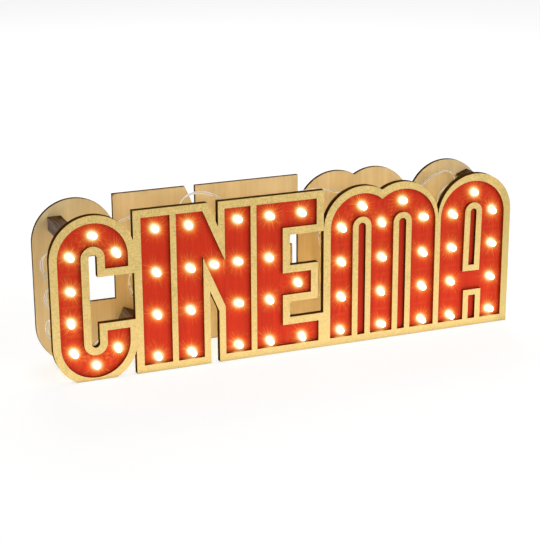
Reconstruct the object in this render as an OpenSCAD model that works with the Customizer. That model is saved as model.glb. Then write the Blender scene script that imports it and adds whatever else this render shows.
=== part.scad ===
// Free-standing marquee sign: a row of six deco capitals lit by a string of small bulbs.
// A cut-out face frame and a coloured face panel stand before a plywood back plate on four blocks.
// +X runs along the sign to the viewer's right, +Y to the back, +Z up. Lengths in mm, angles in degrees.

/* [Outline] */
// Height of the letters
letter_h = 134; // [126:1:146]
// Outer radius of the round letters
arch_r = 34.3; // [33.5:0.1:36]
// Width of the outline bars
bar = 6.2; // [5:0.1:7]
// Width of a bar that two letters share
shared_bar = 4.9; // [4:0.1:6]
// Width of the bars around a slot
slot_bar = 5; // [4:0.1:6]
// Width of the slots in the round letters
slot_w = 6.6; // [5.6:0.1:7.6]

/* [Letter C] */
// Distance from the left end of the sign to the second letter
c_pitch = 67; // [65:0.5:68]
// Height of the centre of the lower curve
c_low_z = 30.3; // [29:0.1:32]
// Height of the lower edge of the mouth
c_mouth_z = 46.3; // [44:0.1:49]
// Height of the mouth
c_mouth_h = 38; // [34:0.5:40]

/* [Letters I and N] */
// Width of the stroke of the I
i_stroke = 23.7; // [22:0.1:26]
// Width of the two stems of the N
n_stem = 22; // [20:0.1:24]
// Width of the gap between the stems of the N
n_gap = 7.5; // [6:0.1:9]
// Width of the bars beside that gap
n_bar = 5.4; // [4.6:0.1:6.4]
// Height of the diagonal stroke, measured upright
n_diagonal_h = 38.5; // [35:0.5:41]
// Rise of the diagonal over its run
n_slope = 2.33; // [2.1:0.01:2.5]

/* [Letter E] */
// Width of the stem
e_stem = 22.6; // [20:0.1:25]
// Length of the top arm
e_top_arm = 29.6; // [27:0.1:33]
// Length of the middle arm
e_mid_arm = 24.7; // [22:0.1:25.5]
// Length of the bottom arm
e_low_arm = 31.6; // [29:0.1:33]
// Height of the top arm
e_top_h = 21.6; // [19:0.1:23]
// Height of the middle arm
e_mid_h = 18.6; // [17:0.1:21]
// Height of the bottom arm
e_low_h = 17.6; // [16:0.1:19]
// Height of the lower notch
e_notch_h = 13.3; // [11:0.1:15]

/* [Letters M and A] */
// Width over both arches of the M
m_w = 104; // [102:0.5:108]
// Width of the left leg of the M
m_left_leg = 19.8; // [18:0.1:22]
// Width of the middle leg of the M
m_mid_leg = 20.2; // [18:0.1:22]
// Height of the foot bridge of the A
a_foot_h = 32.2; // [29:0.1:35]

/* [Counter ring of the A] */
// Width of the ring
ring_w = 15.9; // [14:0.1:17]
// Width of the slot in the ring
ring_slot_w = 5.6; // [4.6:0.1:6.6]
// Height of the bottom of the ring
ring_z = 49.2; // [46:0.1:52]
// Height of the ring
ring_h = 59.8; // [55:0.1:63]
// Lean of the ring, which is stuck on by hand
ring_lean = 0.9; // [0:0.1:2]
// Distance from the centre of the ring to the centre of the A
ring_shift = 1.2; // [0:0.1:2]

/* [Plates and blocks] */
// Thickness of the face frame
frame_t = 3; // [2.5:0.1:4]
// Thickness of the face panel
panel_t = 2.5; // [2:0.1:3]
// Thickness of the back plate
back_t = 3; // [2.5:0.1:4]
// Length of the wooden blocks between the panel and the back plate
block_len = 49; // [46:0.5:60]
// Width of the square blocks
block_w = 11; // [9:0.5:12]

/* [Bulbs and wire] */
// Diameter of a bulb
bulb_d = 5; // [4.5:0.1:5.5]
// How far a bulb stands out of the panel
bulb_out = 6.5; // [5:0.1:8]
// Clearance between a bulb and its hole
bulb_clear = 0.1; // [0.05:0.05:0.3]
// Diameter of the rim behind the panel
rim_d = 6.2; // [5.8:0.1:6.8]
// Thickness of that rim
rim_t = 1; // [0.8:0.1:1.4]
// Diameter of the clear sleeve behind a bulb
sleeve_d = 6.4; // [6:0.1:7]
// Length of that sleeve
sleeve_len = 7.5; // [6:0.5:9]
// Diameter of the wire
wire_d = 1.6; // [1.2:0.1:1.8]
// Straight length of wire behind a sleeve
wire_leg = 9; // [4:0.5:9]
// Distance of a wire from the middle of its sleeve
wire_off = 1.7; // [1.5:0.1:1.9]
// Height of the lowest bulbs
bulb_low = 12.4; // [11.5:0.1:14]
// Distance of the highest bulbs below the top edge
bulb_drop = 16.4; // [14:0.1:18]
// Distance between the bulbs up the back of the C
c_bulb_pitch = 24.9; // [23:0.1:26]

/* [Battery box] */
// Diameter of a cell
cell_d = 14.5; // [14:0.1:14.8]
// Length of a cell over its contact nub
cell_len = 50.5; // [49:0.1:51]
// Gap between two cells
cell_gap = 0.7; // [0.4:0.1:1.5]
// Length of a contact spring under load
spring_len = 5.4; // [4.6:0.1:7]
// Wall of the box
box_wall = 1.8; // [1.6:0.1:2.4]
// Floor of the box
box_floor = 1.6; // [1.2:0.1:2.4]
// Thickness of the sliding cover
cover_t = 1.8; // [1.6:0.1:2.4]
// Clearance around the cover
cover_clear = 0.25; // [0.2:0.05:0.4]
// Width of the bay beside the cells
switch_bay = 10.4; // [10:0.1:12]
// Height of the middle of the box above the table
box_z = 46; // [42:0.5:60]
// Thickness of the foam tape behind the box
foam_t = 1; // [0.8:0.1:2]

/* [Switch] */
// Travel of the switch knob
knob_travel = 4; // [3:0.1:5]
// How far the knob stands out of the box
knob_out = 1.2; // [0.8:0.1:2]

/* [Hidden] */
$fn = 64;

// A cut runs this far past the face it opens
past = 1;

// Places along the sign, counted from the left end and then centred
c_r_in = arch_r - bar;
i_from_left = c_pitch;
n_from_left = i_from_left + bar + i_stroke + shared_bar;
n_w = 2 * n_stem + 2 * n_bar + n_gap;
e_from_left = n_from_left + n_w + shared_bar;
m_from_left = e_from_left + e_stem + e_top_arm + bar;
a_from_left = m_from_left + m_w;
sign_w = a_from_left + 2 * arch_r;
left_x = -sign_w / 2;
c_x = left_x + arch_r;
i_x = left_x + i_from_left;
n_x = left_x + n_from_left;
e_x = left_x + e_from_left;
m_x = left_x + m_from_left;
a_left = left_x + a_from_left;
a_x = a_left + arch_r;
right_x = sign_w / 2;

// Heights that the letters share
top_in = letter_h - bar;
arch_z = letter_h - arch_r;
c_mouth_top = c_mouth_z + c_mouth_h;

// N: stems, and the diagonal that falls from left to right between them
n_left_end = n_x + n_stem;
n_right_start = n_left_end + 2 * n_bar + n_gap;
n_end = n_right_start + n_stem;
n_fall = n_slope * (n_right_start - n_left_end);
n_bar_rise = bar * sqrt(1 + n_slope * n_slope);

// E: arms and the notches between them
e_stem_end = e_x + e_stem;
e_notch_x = e_stem_end + bar;
e_low_top = bar + e_low_h;
e_notch_z = e_low_top + bar;
e_mid_z = e_notch_z + e_notch_h + bar;
e_mid_top = e_mid_z + e_mid_h;
e_upper_notch_z = e_mid_top + bar;
e_top_z = top_in - e_top_h;

// M: slots and arches; the right arch of the window leans on the shared bar
slot_out_w = slot_w + 2 * slot_bar;
m_in = m_x + bar;
m_slot_1 = m_in + m_left_leg + slot_out_w / 2;
m_slot_2 = m_slot_1 + slot_out_w + m_mid_leg;
m_out = a_left - shared_bar / 2;
m_arch_1 = m_x + arch_r;
m_arch_2 = a_left - arch_r;
m_right_r = m_out - m_slot_2;
m_right_z = top_in - m_right_r;

// A: window arch
a_in = a_left + shared_bar / 2;
a_out = right_x - bar;
a_win_r = (a_out - a_in) / 2;
a_win_x = (a_out + a_in) / 2;
a_win_z = top_in - a_win_r;
ring_x = a_x - ring_shift;

// Depths, counted back from the front of the face frame
panel_d = frame_t;
block_d = panel_d + panel_t;
back_d = block_d + block_len;
foam_d = back_d + back_t;
box_d = foam_d + foam_t;
cell_play = 0.4;
cell_room = cell_d + cell_play;
cover_d = box_d + box_floor + cell_room;
box_end_d = cover_d + cover_t;
bulb_tip_d = panel_d - bulb_out;
sleeve_d0 = block_d + rim_t;
sleeve_end_d = sleeve_d0 + sleeve_len;
depth_mid = (bulb_tip_d + box_end_d + knob_out) / 2;
function y_at(depth) = depth - depth_mid;

// Bulbs, letter by letter in the order in which the string threads them
row_count = 4;
bulb_high = letter_h - bulb_drop;
leg_rise = 1.7;
leg_high = arch_z + leg_rise;
function rows(low, high) = [for (i = [0 : row_count - 1]) low + i * (high - low) / (row_count - 1)];
stem_rows = rows(bulb_low, bulb_high);
leg_rows = rows(bulb_low, leg_high);
function up(x, zs) = [for (z = zs) [x, z]];
function down(x, zs) = [for (i = [len(zs) - 1 : -1 : 0]) [x, zs[i]]];
c_mid_r = (c_r_in + slot_w / 2 + bar) / 2;
c_end_angle = 17;
c_top_angle = 10;
c_foot_drop = 0.5;
function on_c(z, angle) = [c_x + c_mid_r * cos(angle), z + c_mid_r * sin(angle)];
c_back_low = on_c(c_low_z, 180 + c_end_angle);
c_bulbs = [
    on_c(c_low_z, -c_end_angle), [c_x, bulb_low - c_foot_drop], c_back_low,
    [c_x - c_mid_r, c_back_low[1] + c_bulb_pitch], [c_x - c_mid_r, c_back_low[1] + 2 * c_bulb_pitch],
    on_c(arch_z, 180 - c_top_angle), [c_x, bulb_high], on_c(arch_z, c_top_angle)
];
i_bulbs = down(i_x + bar + i_stroke / 2, stem_rows);
n_bulbs = concat(
    up(n_x + n_stem / 2, stem_rows),
    down(n_end - n_stem / 2, [stem_rows[2], stem_rows[3]]),
    [[(n_left_end + n_right_start) / 2, stem_rows[2]]],
    down(n_end - n_stem / 2, [stem_rows[0], stem_rows[1]])
);
// A bulb sits a little past the middle of each arm of the E
e_share = 0.55;
e_stem_x = e_x + e_stem / 2;
e_bulbs = [
    [e_stem_x, stem_rows[0]],
    [e_stem_end + e_share * e_low_arm, stem_rows[0]],
    [e_stem_end + e_share * e_mid_arm, e_mid_z + e_mid_h / 2],
    [e_stem_x, stem_rows[1]], [e_stem_x, stem_rows[2]], [e_stem_x, stem_rows[3]],
    [e_stem_end + e_share * e_top_arm, stem_rows[3]]
];
m_bulbs = concat(
    [[m_slot_1, bulb_high]],
    down(m_in + m_left_leg / 2, leg_rows),
    up(m_slot_1 + (slot_out_w + m_mid_leg) / 2, leg_rows),
    [[m_slot_2, bulb_high]],
    down((m_slot_2 + slot_out_w / 2 + m_out) / 2, leg_rows)
);
a_bulbs = concat(
    up((a_in + ring_x - ring_w / 2) / 2, leg_rows),
    [[a_x, bulb_high]],
    down((a_out + ring_x + ring_w / 2) / 2, leg_rows)
);
string = concat(c_bulbs, i_bulbs, n_bulbs, e_bulbs, m_bulbs, a_bulbs);
i_first = len(c_bulbs);
n_first = i_first + len(i_bulbs);
e_first = n_first + len(n_bulbs);
m_first = e_first + len(e_bulbs);
a_first = m_first + len(m_bulbs);

// The loops of wire lean a little to alternate sides; a few, listed by number, lean far out, as at the back
// of the C, beside its mouth and over the top of the N
lean_swing = 12;
lean_step = 121;
far_leans = [[2, 38], [3, 38], [4, 38], [9, -28], [15, 28], [36, 30]];
function lean(k) = let (far = [for (entry = far_leans) if (entry[0] == k) entry[1]])
    len(far) > 0 ? far[0] : lean_swing * sin(lean_step * k);
function unit(v) = v / norm(v);
function heading(k) = unit(string[min(k + 1, len(string) - 1)] - string[max(k - 1, 0)]);
wire_seat = 0.1;

// How far a loop may reach behind its sleeves, with room left before the back plate
loop_room = 6.5;
loop_reach = back_d - sleeve_end_d - loop_room;

// Round neck at the back end of a sleeve
sleeve_neck = 0.8;

// Blocks: place and twist of each one
block_tl = [c_x - 15.3, arch_z + 15.8];
block_tl_twist = 0;
block_ll = [i_x + 8.6, c_low_z + 0.7];
block_ll_twist = -24;
block_tr = [a_x + 18, arch_z + 16.9];
block_tr_twist = 20.6;
block_lr = [a_x, bulb_low + 7];
block_lr_twist = 8;

// Battery box, on the back behind the M
pitch = cell_d + cell_gap;
plate_t = 0.5;
bay_w = cell_len + spring_len + 2 * plate_t;
bay_h = 3 * pitch;
box_w = bay_w + switch_bay + 3 * box_wall;
box_h = bay_h + 2 * box_wall;
box_round = 1.2;
box_x0 = m_x + m_w / 2 - box_w / 2;
box_x1 = box_x0 + box_w;
box_z0 = box_z - box_h / 2;
bay_x0 = box_x0 + box_wall;
bay_x1 = bay_x0 + bay_w;
bay_z0 = box_z0 + box_wall;
floor_d = box_d + box_floor;
cell_rest = 0.05;
cell_mid_d = floor_d + cell_d / 2 + cell_rest;
rib_w = 1.4;
rib_h = 3;

// Cover tongues and the grooves that they run in
tongue_w = 0.8;
tongue_t = 0.8;
groove_clear = 0.15;
tongue_d = cover_d + (cover_t - tongue_t) / 2;
grip_count = 3;
grip_w = 1.2;
grip_step = 2.6;
grip_deep = 0.5;
grip_len = 18;

// Slide switch in the bay beside the cells
roof_t = 1.6;
roof_d = box_end_d - roof_t;
bay_mid_x = box_x1 - box_wall - switch_bay / 2;
stem_size = [3.4, 4];
slide_size = [5, 5.6];
slide_t = 0.9;
slide_clear = 0.2;
switch_size = [8.6, 14];
switch_deep = 5;

// Contact plates and springs
plate_size = [10, 12];
spring_r0 = 3.6;
spring_r1 = 2.7;
spring_wire_d = 0.7;
spring_curls = 3.5;
curl_rings = 8;
spring_sides = 6;
spring_gap = 0.1;

// Route of the feed wire: along the sign, depth behind the face, height
feed_hole_r = 2.2;
feed_sides = 8;
feed_steps = 3;
feed_end = [a_bulbs[len(a_bulbs) - 1][0], a_bulbs[len(a_bulbs) - 1][1] - wire_off];
feed_hole = [bay_mid_x, 60];
feed_gap = 0.3;
feed_d = roof_d - switch_deep / 2;
feed_top = bulb_high + 6.9;
feed_x = a_x + 8.3;
feed_run_d = back_d - 4.5;
feed_route = [
    [feed_hole[0], feed_d, box_z + switch_size[1] / 2 + feed_gap], [feed_hole[0], feed_d, feed_hole[1] - 4],
    [feed_hole[0], box_d + 9.5, feed_hole[1]], [feed_hole[0], box_d + 3.5, feed_hole[1]],
    [feed_hole[0], back_d + 0.5, feed_hole[1]],
    [feed_hole[0] + 1.25, back_d - 3, feed_hole[1] + 3], [feed_hole[0] + 4.25, back_d - 4, feed_hole[1] + 10],
    [feed_hole[0] + 10.25, feed_run_d, feed_top - 42], [a_x - 37.7, feed_run_d, feed_top - 26],
    [a_x - 26.7, feed_run_d, feed_top - 12], [a_x - 14.7, feed_run_d, feed_top - 3.5],
    [a_x - 2.7, feed_run_d, feed_top], [a_x + 5.8, feed_run_d, feed_top - 4],
    [feed_x, feed_run_d, feed_top - 17], [feed_x, feed_run_d, arch_z - 20],
    [feed_x, feed_run_d, arch_z - 48], [feed_x + 2, feed_run_d - 1, feed_end[1] + 21],
    [feed_x + 6, feed_run_d - 5, feed_end[1] + 8.3], [feed_end[0], feed_run_d - 13, feed_end[1] + 1],
    [feed_end[0], feed_run_d - 24, feed_end[1]], [feed_end[0], sleeve_end_d + wire_seat, feed_end[1]]
];

// A plate of the given outline: depth of its front face, and thickness
module layer(depth, thick) {
    translate([0, y_at(depth + thick), 0]) rotate([90, 0, 0]) linear_extrude(thick) children();
}

// A rectangle with round corners, by its low corner and its size
module rounded(corner, size, r) {
    translate(corner + [r, 0]) square(size - [2 * r, 0]);
    translate(corner + [0, r]) square(size - [0, 2 * r]);
    for (x = [r, size[0] - r], z = [r, size[1] - r]) translate(corner + [x, z]) circle(r);
}

// A block by its low corner in (along, depth, height) and its size
module bar_block(corner, size) {
    translate([corner[0], y_at(corner[1]), corner[2]]) cube(size);
}

// A strip with two round ends
module strip(x, low, high, r) {
    translate([x, low]) circle(r);
    translate([x, high]) circle(r);
    translate([x - r, low]) square([2 * r, high - low]);
}

// A strip with a flat foot and a round top
module arch(x, low, centre, r) {
    translate([x, centre]) circle(r);
    translate([x - r, low]) square([2 * r, centre - low]);
}

module rect(x0, z0, x1, z1) {
    translate([x0, z0]) square([x1 - x0, z1 - z0]);
}

// What is cut through every layer: mouth and slot of the C, gaps of the N, notches of the E
module c_mouth() {
    strip(c_x, c_low_z, arch_z, slot_w / 2);
    rect(c_x, c_mouth_z, i_x, c_mouth_top);
}

module n_gaps() {
    left = n_left_end + n_bar;
    right = n_right_start - n_bar;
    upper_start = n_left_end + (top_in + n_bar_rise - letter_h - past) / n_slope;
    upper_end = top_in + n_bar_rise - n_slope * (right - n_left_end);
    low_edge = top_in - n_diagonal_h - n_bar_rise;
    polygon([[upper_start, letter_h + past], [right, letter_h + past], [right, upper_end]]);
    polygon([
        [left, -past], [right, -past],
        [right, low_edge - n_slope * (right - n_left_end)],
        [left, low_edge - n_slope * (left - n_left_end)]
    ]);
}

module e_notches() {
    rect(e_notch_x, e_notch_z, m_x, e_notch_z + e_notch_h);
    rect(e_notch_x, e_upper_notch_z, m_x, e_top_z - bar);
    rect(e_stem_end + e_mid_arm + bar, e_notch_z, m_x, e_top_z - bar);
}

// Outline that the frame, the panel and the back plate share
module silhouette() {
    difference() {
        union() {
            intersection() {
                strip(c_x, c_low_z, arch_z, arch_r);
                rect(left_x - past, 0, right_x, letter_h + past);
            }
            rect(i_x, 0, m_x, letter_h);
            arch(m_arch_1, 0, arch_z, arch_r);
            arch(m_arch_2, 0, arch_z, arch_r);
            arch(a_x, 0, arch_z, arch_r);
        }
        c_mouth();
        n_gaps();
        e_notches();
    }
}

// Windows of the frame, in which the panel shows
module c_window() {
    difference() {
        strip(c_x, c_low_z, arch_z, c_r_in);
        strip(c_x, c_low_z, arch_z, slot_w / 2 + bar);
        rect(c_x, c_mouth_z - bar, i_x, c_mouth_top + bar);
    }
}

module n_window() {
    polygon([
        [n_x, bar], [n_left_end, bar], [n_left_end, top_in - n_diagonal_h],
        [n_right_start, top_in - n_diagonal_h - n_fall], [n_right_start, bar], [n_end, bar],
        [n_end, top_in], [n_right_start, top_in], [n_right_start, top_in - n_fall],
        [n_left_end, top_in], [n_x, top_in]
    ]);
}

module e_window() {
    polygon([
        [e_x, bar], [e_stem_end + e_low_arm, bar], [e_stem_end + e_low_arm, e_low_top],
        [e_stem_end, e_low_top], [e_stem_end, e_mid_z], [e_stem_end + e_mid_arm, e_mid_z],
        [e_stem_end + e_mid_arm, e_mid_top], [e_stem_end, e_mid_top], [e_stem_end, e_top_z],
        [e_stem_end + e_top_arm, e_top_z], [e_stem_end + e_top_arm, top_in], [e_x, top_in]
    ]);
}

module m_window() {
    difference() {
        union() {
            arch(m_arch_1, bar, arch_z, c_r_in);
            arch(m_slot_2, bar, m_right_z, m_right_r);
        }
        for (x = [m_slot_1, m_slot_2]) arch(x, 0, arch_z, slot_out_w / 2);
    }
}

module a_window() {
    difference() {
        arch(a_win_x, bar, a_win_z, a_win_r);
        rect(a_x - slot_out_w / 2, 0, a_x + slot_out_w / 2, a_foot_h);
    }
}

module front_frame() {
    color("#cdb069") layer(0, frame_t) difference() {
        silhouette();
        c_window();
        rect(i_x + bar, bar, i_x + bar + i_stroke, top_in);
        n_window();
        e_window();
        m_window();
        a_window();
        for (x = [m_slot_1, m_slot_2]) arch(x, bar, arch_z, slot_w / 2);
        rect(a_x - slot_w / 2, bar, a_x + slot_w / 2, a_foot_h - slot_bar);
    }
}

// Loose ring inside the A, stuck to the panel with a slight lean
module counter_ring() {
    ring_bar = (ring_w - ring_slot_w) / 2;
    color("#cdb069") layer(0, frame_t)
        translate([ring_x, ring_z + ring_h / 2]) rotate(-ring_lean) translate([0, -ring_h / 2])
            difference() {
                arch(0, 0, ring_h - ring_w / 2, ring_w / 2);
                arch(0, ring_bar, ring_h - ring_w / 2, ring_slot_w / 2);
            }
}

module face_panel() {
    color("#d0361f") layer(panel_d, panel_t) difference() {
        silhouette();
        for (p = string) translate(p) circle(bulb_d / 2 + bulb_clear);
    }
}

module back_plate() {
    color("#deb878") layer(back_d, back_t) difference() {
        silhouette();
        translate(feed_hole) circle(feed_hole_r);
    }
}

module spacer(place, twist) {
    color("#5b4229") layer(block_d, block_len)
        translate(place) rotate(twist) square(block_w, center = true);
}

module spacer_top_left() spacer(block_tl, block_tl_twist);
module spacer_low_left() spacer(block_ll, block_ll_twist);
module spacer_top_right() spacer(block_tr, block_tr_twist);
module spacer_low_right() spacer(block_lr, block_lr_twist);

// Turns local +Z to the back at a bulb
module at_bulb(p) {
    translate([p[0], 0, p[1]]) rotate([-90, 0, 0]) children();
}

// Half profile of a rod with one round end: radius, height of the round end, height of the flat end
module round_rod(r, tip, flat) {
    dir = flat > tip ? 1 : -1;
    centre = tip + dir * r;
    intersection() {
        translate([0, centre]) circle(r);
        translate([0, min(tip, centre)]) square([r, r]);
    }
    translate([0, min(centre, flat)]) square([r, abs(flat - centre)]);
}

module bulbs(places) {
    color("#fff2c4") for (p = places) at_bulb(p) rotate_extrude() {
        round_rod(bulb_d / 2, y_at(bulb_tip_d), y_at(block_d));
        translate([0, y_at(block_d)]) square([rim_d / 2, rim_t]);
    }
}

module sleeves(places) {
    color("#e6ecee") for (p = places) at_bulb(p) rotate_extrude() difference() {
        translate([0, y_at(sleeve_d0)]) square([sleeve_d / 2, sleeve_len]);
        translate([sleeve_d / 2, y_at(sleeve_end_d)]) circle(sleeve_neck);
    }
}

module bulbs_c() bulbs(c_bulbs);
module bulbs_i() bulbs(i_bulbs);
module bulbs_n() bulbs(n_bulbs);
module bulbs_e() bulbs(e_bulbs);
module bulbs_m() bulbs(m_bulbs);
module bulbs_a() bulbs(a_bulbs);
module sleeves_c() sleeves(c_bulbs);
module sleeves_i() sleeves(i_bulbs);
module sleeves_n() sleeves(n_bulbs);
module sleeves_e() sleeves(e_bulbs);
module sleeves_m() sleeves(m_bulbs);
module sleeves_a() sleeves(a_bulbs);

// One loop of wire between two bulbs: two straight legs and half a ring, leaning to one side
module wire_loop(from, to, tilt) {
    across = to - from;
    mid = (from + to) / 2;
    r = norm(across) / 2;
    leg = min(wire_leg, loop_reach - r);
    lift = (wire_seat + wire_d / 2 * abs(sin(tilt))) / cos(tilt);
    turn = -atan2(across[1], across[0]);
    translate([mid[0], y_at(sleeve_end_d), mid[1]]) rotate([0, turn, 0]) rotate([tilt, 0, 0])
        translate([0, lift, 0]) {
            for (side = [-r, r])
                translate([side, 0, 0]) rotate([-90, 0, 0]) cylinder(h = leg, d = wire_d);
            translate([0, leg, 0]) rotate_extrude(angle = 180) translate([r, 0]) circle(d = wire_d);
        }
}

// The loops that start at the bulbs of one letter
module wire(first, count) {
    color("#dfe6e6") for (k = [first : min(first + count, len(string) - 1) - 1])
        wire_loop(string[k] + wire_off * heading(k), string[k + 1] - wire_off * heading(k + 1), lean(k));
}

module wire_c() wire(0, len(c_bulbs));
module wire_i() wire(i_first, len(i_bulbs));
module wire_n() wire(n_first, len(n_bulbs));
module wire_e() wire(e_first, len(e_bulbs));
module wire_m() wire(m_first, len(m_bulbs));
module wire_a() wire(a_first, len(a_bulbs));

// A smooth curve through the points of a route, and a tube along a curve
function blend(a, b, c, d, t) =
    0.5 * (2 * b + (c - a) * t + (2 * a - 5 * b + 4 * c - d) * t * t + (3 * b - a - 3 * c + d) * t * t * t);
function smooth(p, steps) = concat(
    [for (i = [0 : len(p) - 2], j = [0 : steps - 1])
        blend(p[max(i - 1, 0)], p[i], p[i + 1], p[min(i + 2, len(p) - 1)], j / steps)],
    [p[len(p) - 1]]
);
function tangents(p) = [for (i = [0 : len(p) - 1]) unit(p[min(i + 1, len(p) - 1)] - p[max(i - 1, 0)])];
function carried(t, i, side) = let (s = unit(side - (side * t[i]) * t[i]))
    i == len(t) - 1 ? [s] : concat([s], carried(t, i + 1, s));

module tube(p, r, sides, side) {
    t = tangents(p);
    n = carried(t, 0, side);
    points = [for (i = [0 : len(p) - 1], j = [0 : sides - 1])
        p[i] + r * (cos(360 * j / sides) * n[i] + sin(360 * j / sides) * cross(t[i], n[i]))];
    last = (len(p) - 1) * sides;
    walls = [for (i = [0 : len(p) - 2], j = [0 : sides - 1], half = [0, 1])
        let (a = i * sides + j, b = i * sides + (j + 1) % sides)
            half == 0 ? [a, a + sides, b] : [b, a + sides, b + sides]];
    ends = [for (j = [1 : sides - 2], end = [0, 1])
        end == 0 ? [0, j, j + 1] : [last, last + j + 1, last + j]];
    polyhedron(points, concat(walls, ends));
}

module feed_wire() {
    route = [for (p = feed_route) [p[0], y_at(p[1]), p[2]]];
    color("#dfe6e6") tube(smooth(route, feed_steps), wire_d / 2, feed_sides, [1, 0, 0]);
}

// Foam tape under the cell bay
module foam_tape() {
    margin = 5;
    color("#f0f0ea") bar_block([bay_x0 + margin, foam_d, bay_z0 + margin],
        [bay_w - 2 * margin, foam_t, bay_h - 2 * margin]);
}

// Tray for three cells, with a covered bay for the switch
module battery_box() {
    cover_h = bay_h + 2 * (tongue_w + groove_clear);
    color("#2d2d2f") difference() {
        layer(box_d, box_end_d - box_d) rounded([box_x0, box_z0], [box_w, box_h], box_round);
        difference() {
            bar_block([bay_x0, floor_d, bay_z0], [bay_w, box_end_d - floor_d + past, bay_h]);
            for (k = [1, 2])
                bar_block([bay_x0 - past, floor_d - past, bay_z0 + k * pitch - rib_w / 2],
                    [bay_w + 2 * past, rib_h + past, rib_w]);
        }
        bar_block([box_x0 - past, cover_d - cover_clear, bay_z0],
            [box_wall + 2 * past, cover_t + cover_clear + past, bay_h]);
        bar_block([box_x0 - past, tongue_d - groove_clear, bay_z0 - tongue_w - groove_clear],
            [bay_x1 - box_x0 + past, tongue_t + 2 * groove_clear, cover_h]);
        bar_block([bay_mid_x - switch_bay / 2, box_d - past, bay_z0],
            [switch_bay, roof_d - box_d + past, bay_h]);
        bar_block([bay_mid_x - stem_size[0] / 2 - slide_clear, roof_d - past,
                box_z - (stem_size[1] + knob_travel) / 2 - slide_clear],
            [stem_size[0] + 2 * slide_clear, roof_t + 2 * past,
                stem_size[1] + knob_travel + 2 * slide_clear]);
    }
}

// Cover that slides off towards the left end of the box, with a grooved thumb grip
module battery_cover() {
    length = bay_x1 - cover_clear - box_x0;
    width = bay_h - 2 * cover_clear;
    color("#343437") difference() {
        union() {
            bar_block([box_x0, cover_d, bay_z0 + cover_clear], [length, cover_t, width]);
            bar_block([box_x0, tongue_d, bay_z0 + cover_clear - tongue_w],
                [length, tongue_t, width + 2 * tongue_w]);
        }
        for (k = [1 : grip_count])
            bar_block([box_x0 + 2 * k * grip_step, box_end_d - grip_deep, box_z - grip_len / 2],
                [grip_w, grip_deep + past, grip_len]);
    }
}

// A cell lying along X in row k, counted from below, with its nub at one end
module cell(k, nub_right) {
    nub_len = 1.3;
    nub_r = 2.75;
    nub_gap = 0.05;
    can_len = cell_len - nub_len;
    from = nub_right ? bay_x1 - plate_t - nub_gap - cell_len : bay_x0 + plate_t + nub_gap + cell_len;
    color("#4a5a50") translate([from, y_at(cell_mid_d), bay_z0 + (k + 0.5) * pitch])
        rotate([0, nub_right ? 90 : -90, 0]) {
            cylinder(h = can_len, d = cell_d);
            cylinder(h = cell_len, r = nub_r);
        }
}

module cell_low() cell(0, true);
module cell_middle() cell(1, false);
module cell_top() cell(2, true);

// Flat contact plates at both ends of each cell
module contact_plates() {
    color("#c9c9c4") for (k = [0 : 2], x = [bay_x0, bay_x1 - plate_t])
        bar_block([x, floor_d, bay_z0 + (k + 0.5) * pitch - plate_size[0] / 2],
            [plate_t, plate_size[1], plate_size[0]]);
}

// A tapered spring from its plate to the flat end of a cell
spring_free = spring_len - 2 * spring_gap - spring_wire_d;
spring_points = [for (i = [0 : spring_curls * curl_rings])
    let (s = i / (spring_curls * curl_rings), r = spring_r0 + (spring_r1 - spring_r0) * s)
        [s * spring_free, r * cos(360 * i / curl_rings), r * sin(360 * i / curl_rings)]];
spring_least = min([for (i = [0 : len(spring_points) - 1], j = [0 : len(spring_points) - 1])
    if (j - i >= curl_rings - 1) norm(spring_points[j] - spring_points[i])]) - spring_wire_d;
echo("least gap between the curls of a contact spring, mm", spring_least);

module contact_springs() {
    inset = plate_t + spring_gap + spring_wire_d / 2;
    color("#b8b8b4") for (k = [0 : 2])
        translate([k == 1 ? bay_x1 - inset : bay_x0 + inset, y_at(cell_mid_d), bay_z0 + (k + 0.5) * pitch])
            rotate([0, k == 1 ? 180 : 0, 0]) tube(spring_points, spring_wire_d / 2, spring_sides, [1, 0, 0]);
}

// Slide switch: a body with a chamber under the roof, and a knob that is held in the chamber
module switch_body() {
    room = [slide_size[0] + 2 * slide_clear, slide_size[1] + knob_travel + 2 * slide_clear];
    room_t = slide_t + 2 * slide_clear;
    color("#8f8f8c") difference() {
        bar_block([bay_mid_x - switch_size[0] / 2, roof_d - switch_deep, box_z - switch_size[1] / 2],
            [switch_size[0], switch_deep, switch_size[1]]);
        bar_block([bay_mid_x - room[0] / 2, roof_d - room_t, box_z - room[1] / 2],
            [room[0], room_t + past, room[1]]);
    }
}

module switch_knob() {
    knob_z = box_z + knob_travel / 2;
    slide_d = roof_d - slide_clear - slide_t;
    color("#e8e8e4") {
        bar_block([bay_mid_x - slide_size[0] / 2, slide_d, knob_z - slide_size[1] / 2],
            [slide_size[0], slide_t, slide_size[1]]);
        bar_block([bay_mid_x - stem_size[0] / 2, slide_d, knob_z - stem_size[1] / 2],
            [stem_size[0], box_end_d + knob_out - slide_d, stem_size[1]]);
    }
}

front_frame();
counter_ring();
face_panel();
back_plate();
spacer_top_left();
spacer_low_left();
spacer_top_right();
spacer_low_right();
bulbs_c();
bulbs_i();
bulbs_n();
bulbs_e();
bulbs_m();
bulbs_a();
sleeves_c();
sleeves_i();
sleeves_n();
sleeves_e();
sleeves_m();
sleeves_a();
wire_c();
wire_i();
wire_n();
wire_e();
wire_m();
wire_a();
feed_wire();
foam_tape();
battery_box();
battery_cover();
cell_top();
cell_middle();
cell_low();
contact_springs();
contact_plates();
switch_body();
switch_knob();
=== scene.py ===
"""Looks of a free-standing marquee letter sign: cut plates, lit bulbs, looped wire, battery box."""

import math

import bmesh
import bpy
from mathutils import Matrix, Quaternion, Vector
from mathutils.kdtree import KDTree


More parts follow.
